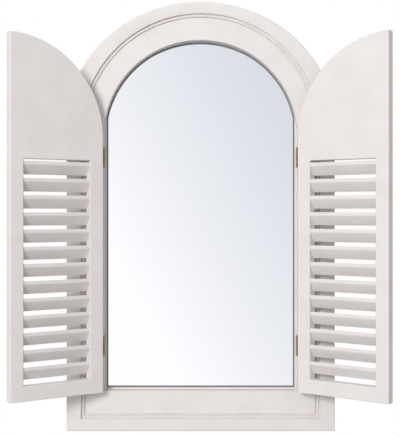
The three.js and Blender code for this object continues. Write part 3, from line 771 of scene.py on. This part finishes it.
def hardboard():
    """Tempered hardboard: brown pressed fibre, mottled, with a dull hard face."""
    material, tree, shader = new_material("pressed_hardboard")
    place = node(tree, "ShaderNodeTexCoord").outputs["Object"]
    fibre = node(tree, "ShaderNodeTexNoise", {"Scale": per_metre(1.2), "Detail": 6}, Vector=place)
    cloud = node(tree, "ShaderNodeTexNoise", {"Scale": per_metre(30), "Detail": 3}, Vector=place)
    mixed = node(tree, "ShaderNodeMath", {"operation": "MULTIPLY_ADD", 1: 0.5}, Value=fibre.outputs["Fac"])
    tree.links.new(cloud.outputs["Fac"], mixed.inputs[2])
    tone = node(tree, "ShaderNodeValToRGB", Fac=mixed.outputs["Value"])
    tone.color_ramp.elements[0].position = 0.5
    tone.color_ramp.elements[1].position = 1
    tone.color_ramp.elements[0].color = linear("#6e4f36")
    tone.color_ramp.elements[1].color = linear("#9a7650")
    tree.links.new(tone.outputs["Color"], shader.inputs["Base Color"])
    bump = node(
        tree, "ShaderNodeBump", {"Strength": 0.25, "Distance": 0.1 * MM}, Height=fibre.outputs["Fac"],
    )
    tree.links.new(bump.outputs["Normal"], shader.inputs["Normal"])
    shader.inputs["Roughness"].default_value = 0.7
    return material


def satin_metal(name, light, dark, rough_low, rough_high):
    """A small pressed metal fitting: satin, with fine rolling marks up its height and duller
    patches."""
    material, tree, shader = new_material(name)
    place = node(tree, "ShaderNodeTexCoord").outputs["Object"]
    along = node(tree, "ShaderNodeMapping", {"Scale": (1, 1, 0.08)}, Vector=place).outputs["Vector"]
    lines = node(tree, "ShaderNodeTexNoise", {"Scale": per_metre(0.6), "Detail": 2}, Vector=along)
    cloud = node(tree, "ShaderNodeTexNoise", {"Scale": per_metre(6), "Detail": 3}, Vector=place)
    tone = node(tree, "ShaderNodeValToRGB", Fac=cloud.outputs["Fac"])
    tone.color_ramp.elements[0].position = 0.35
    tone.color_ramp.elements[1].position = 0.65
    tone.color_ramp.elements[0].color = linear(dark)
    tone.color_ramp.elements[1].color = linear(light)
    tree.links.new(tone.outputs["Color"], shader.inputs["Base Color"])
    rough = node(
        tree, "ShaderNodeMapRange", {"To Min": rough_low, "To Max": rough_high}, Value=cloud.outputs["Fac"],
    )
    tree.links.new(rough.outputs["Result"], shader.inputs["Roughness"])
    bump = node(
        tree, "ShaderNodeBump", {"Strength": 0.15, "Distance": 0.05 * MM}, Height=lines.outputs["Fac"],
    )
    tree.links.new(bump.outputs["Normal"], shader.inputs["Normal"])
    shader.inputs["Metallic"].default_value = 1
    return material


def paint_with(material, *pieces):
    """Gives pieces one material in place of what they had."""
    for piece in pieces:
        piece.data.materials.clear()
        piece.data.materials.append(material)


# ---- light, floor and camera ----

WHITE = (1, 1, 1, 1)
SHADE_LEVEL = 0.25               # the studio's light from the side away from the glow
GLOW_LEVEL = 0.36                # added to it in full from the glow's own side
GLOW_WAY = Vector((-0.3, -1, 0.6)).normalized()
KEY_PLACE = (-1.4, -3.6, 1.55)
KEY_TARGET = (0, 0, 0.36)
KEY_SIZE = 1.2
KEY_POWER = 90
ROOM_SLOPE = 1.8                 # the reflected room darkens this much faster across than upwards
ROOM_LIGHT = -0.217
ROOM_DARK = 0.263
ROOM_STRENGTH = 1.07
CAMERA_DISTANCE = 1.70
PIXELS_PER_METRE = 537.2         # at the band's front, in a picture 437 px tall
PICTURE_HEIGHT = 437
HORIZON_ROW = 212
SPRING_ROW = 137
CAMERA_SIDE = -0.0011
SENSOR = 36
FLOOR_DROP = 0.9
FLOOR_SIZE = 30


def set_world():
    """A white studio: white to the camera, to the object a broad glow from the front, above and to
    the left, and in mirror and metal a room that fades from white at the lower left to a cool grey
    at the upper right."""
    world = bpy.data.worlds.new("studio")
    bpy.context.scene.world = world
    world.use_nodes = True
    tree = world.node_tree
    tree.nodes.clear()
    way = node(tree, "ShaderNodeTexCoord").outputs["Generated"]
    axes = node(tree, "ShaderNodeSeparateXYZ", Vector=way)
    slope = node(tree, "ShaderNodeMath", {"operation": "MULTIPLY_ADD", 1: ROOM_SLOPE})
    tree.links.new(axes.outputs["X"], slope.inputs[0])
    tree.links.new(axes.outputs["Z"], slope.inputs[2])
    room = node(
        tree, "ShaderNodeMapRange", {"From Min": ROOM_LIGHT, "From Max": ROOM_DARK},
        Value=slope.outputs["Value"],
    )
    shade = node(tree, "ShaderNodeValToRGB", Fac=room.outputs["Result"])
    shade.color_ramp.elements[0].color = linear("#fdfdfe")
    shade.color_ramp.elements[1].color = linear("#dadde4")
    middle = shade.color_ramp.elements.new(0.44)
    middle.color = linear("#edeef2")
    aside = node(tree, "ShaderNodeVectorMath", {"operation": "DOT_PRODUCT", 1: GLOW_WAY})
    tree.links.new(way, aside.inputs[0])
    glow = node(
        tree, "ShaderNodeMapRange",
        {"From Min": -1, "To Min": SHADE_LEVEL, "To Max": SHADE_LEVEL + GLOW_LEVEL},
        Value=aside.outputs["Value"],
    )
    path = node(tree, "ShaderNodeLightPath")
    shiny = node(tree, "ShaderNodeBackground", {"Strength": ROOM_STRENGTH}, Color=shade.outputs["Color"])
    fill = node(tree, "ShaderNodeBackground", {"Color": WHITE}, Strength=glow.outputs["Result"])
    white = node(tree, "ShaderNodeBackground", {"Color": WHITE, "Strength": 1})
    glossy = node(tree, "ShaderNodeMath", {"operation": "MAXIMUM"})
    tree.links.new(path.outputs["Is Glossy Ray"], glossy.inputs[0])
    tree.links.new(path.outputs["Is Transmission Ray"], glossy.inputs[1])
    direct = node(tree, "ShaderNodeMath", {"operation": "SUBTRACT"})
    tree.links.new(glossy.outputs["Value"], direct.inputs[0])
    tree.links.new(path.outputs["Diffuse Depth"], direct.inputs[1])
    first = node(tree, "ShaderNodeMixShader", Fac=direct.outputs["Value"])
    tree.links.new(fill.outputs[0], first.inputs[1])
    tree.links.new(shiny.outputs[0], first.inputs[2])
    second = node(tree, "ShaderNodeMixShader", Fac=path.outputs["Is Camera Ray"])
    tree.links.new(first.outputs[0], second.inputs[1])
    tree.links.new(white.outputs[0], second.inputs[2])
    node(tree, "ShaderNodeOutputWorld", Surface=second.outputs[0])


def set_key():
    """One soft disc lamp behind the camera, above it and to its left, unseen in mirror and metal."""
    lamp = bpy.data.lights.new("key", "AREA")
    lamp.shape = "DISK"
    lamp.size = KEY_SIZE
    lamp.energy = KEY_POWER
    holder = bpy.data.objects.new("key", lamp)
    bpy.context.scene.collection.objects.link(holder)
    holder.location = KEY_PLACE
    aim = Vector(KEY_TARGET) - Vector(KEY_PLACE)
    holder.rotation_euler = aim.to_track_quat("-Z", "Y").to_euler()
    holder.visible_glossy = False


def set_floor():
    """A plain pale floor well below the mirror, white to the camera."""
    deselect()
    bpy.ops.mesh.primitive_grid_add(
        x_subdivisions=4, y_subdivisions=4, size=FLOOR_SIZE, location=(0, 0, FOOT - FLOOR_DROP),
    )
    floor = bpy.context.active_object
    floor.name = "pale_floor"
    floor.visible_glossy = False
    floor.visible_diffuse = False
    material, tree, shader = new_material("pale_floor")
    shader.inputs["Base Color"].default_value = linear("#e9e9e9")
    shader.inputs["Roughness"].default_value = 0.9
    path = node(tree, "ShaderNodeLightPath")
    glow = node(tree, "ShaderNodeEmission", {"Color": WHITE, "Strength": 1})
    seen = node(tree, "ShaderNodeMath", {"operation": "MAXIMUM"})
    tree.links.new(path.outputs["Is Camera Ray"], seen.inputs[0])
    tree.links.new(path.outputs["Is Glossy Ray"], seen.inputs[1])
    mix = node(tree, "ShaderNodeMixShader", Fac=seen.outputs["Value"])
    tree.links.new(shader.outputs[0], mix.inputs[1])
    tree.links.new(glow.outputs[0], mix.inputs[2])
    tree.links.new(mix.outputs[0], tree.nodes["Material Output"].inputs["Surface"])
    paint_with(material, floor)


def set_camera():
    """Level, straight on, a hair left of the middle, with the horizon at the level of the hinges."""
    camera = bpy.data.cameras.new("view")
    camera.sensor_width = SENSOR
    camera.lens = SENSOR * PIXELS_PER_METRE * CAMERA_DISTANCE / PICTURE_HEIGHT
    camera.shift_y = (HORIZON_ROW - PICTURE_HEIGHT / 2) / PICTURE_HEIGHT
    holder = bpy.data.objects.new("view", camera)
    bpy.context.scene.collection.objects.link(holder)
    height = SPRING - (HORIZON_ROW - SPRING_ROW) / PIXELS_PER_METRE
    holder.location = (CAMERA_SIDE, BAND_Y - CAMERA_DISTANCE, height)
    holder.rotation_euler = (math.pi / 2, 0, 0)
    bpy.context.scene.camera = holder


# ---- assembly ----

set_camera()
upright_paint = eggshell_paint("eggshell_paint_brushed_upright", (1, 1, 0.05))
level_paint = eggshell_paint("eggshell_paint_brushed_level", (0.05, 1, 1))
arch_paint = eggshell_paint("eggshell_paint_on_arch", (1, 1, 1))
brass = satin_metal("satin_brass", "#c9ba84", "#a8985f", 0.3, 0.45)
zinc = satin_metal("zinc_plated_steel", "#c4c7ca", "#a7abaf", 0.3, 0.45)

for word in SIDES:
    for node_name, piece, material in (
        (f"{word}_stile", moulded_stile(word), upright_paint),
        (f"{word}_arch", moulded_arch(word), arch_paint),
    ):
        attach(piece, "frame")
        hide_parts(node_name)
        paint_with(material, piece)

rail = moulded_rail()
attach(rail, "frame")
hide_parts("bottom_rail")
paint_with(level_paint, rail)

glass = arched_pane(
    "silvered_glass", GLASS_HIGH.x, GLASS_LOW.z, GLASS_HIGH.y, GLASS_LOW.y, GLASS_ARRIS,
)
strip = glazing_strip()
board = arched_pane("hardboard_back", BOARD_HIGH.x, BOARD_LOW.z, BOARD_HIGH.y, BOARD_LOW.y)
for piece, node_name, slot_name, material in (
    (glass, "mirror_glass", "silvered_glass", silvered_glass()),
    (strip, "glazing_strip", "glazing_tape", grey_tape()),
    (board, "backing_board", "hardboard", hardboard()),
):
    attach(piece, "frame")
    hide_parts(node_name)
    paint_with(material, piece)

for word in SIDES:
    for piece in shutter_boards(word):
        paint_with(level_paint if "rail" in piece.name else upright_paint, piece)
    paint_with(level_paint, *shutter_slats(word))

for name, cad_node in frame["nodes"].items():
    if "leaf" in name or name.endswith("_pin"):
        paint_with(brass, cad_node)
    if "hanger" in name or "turn_button" in name:
        paint_with(zinc, cad_node)

set_world()
set_key()
set_floor()
bpy.context.scene.view_settings.view_transform = "Standard"
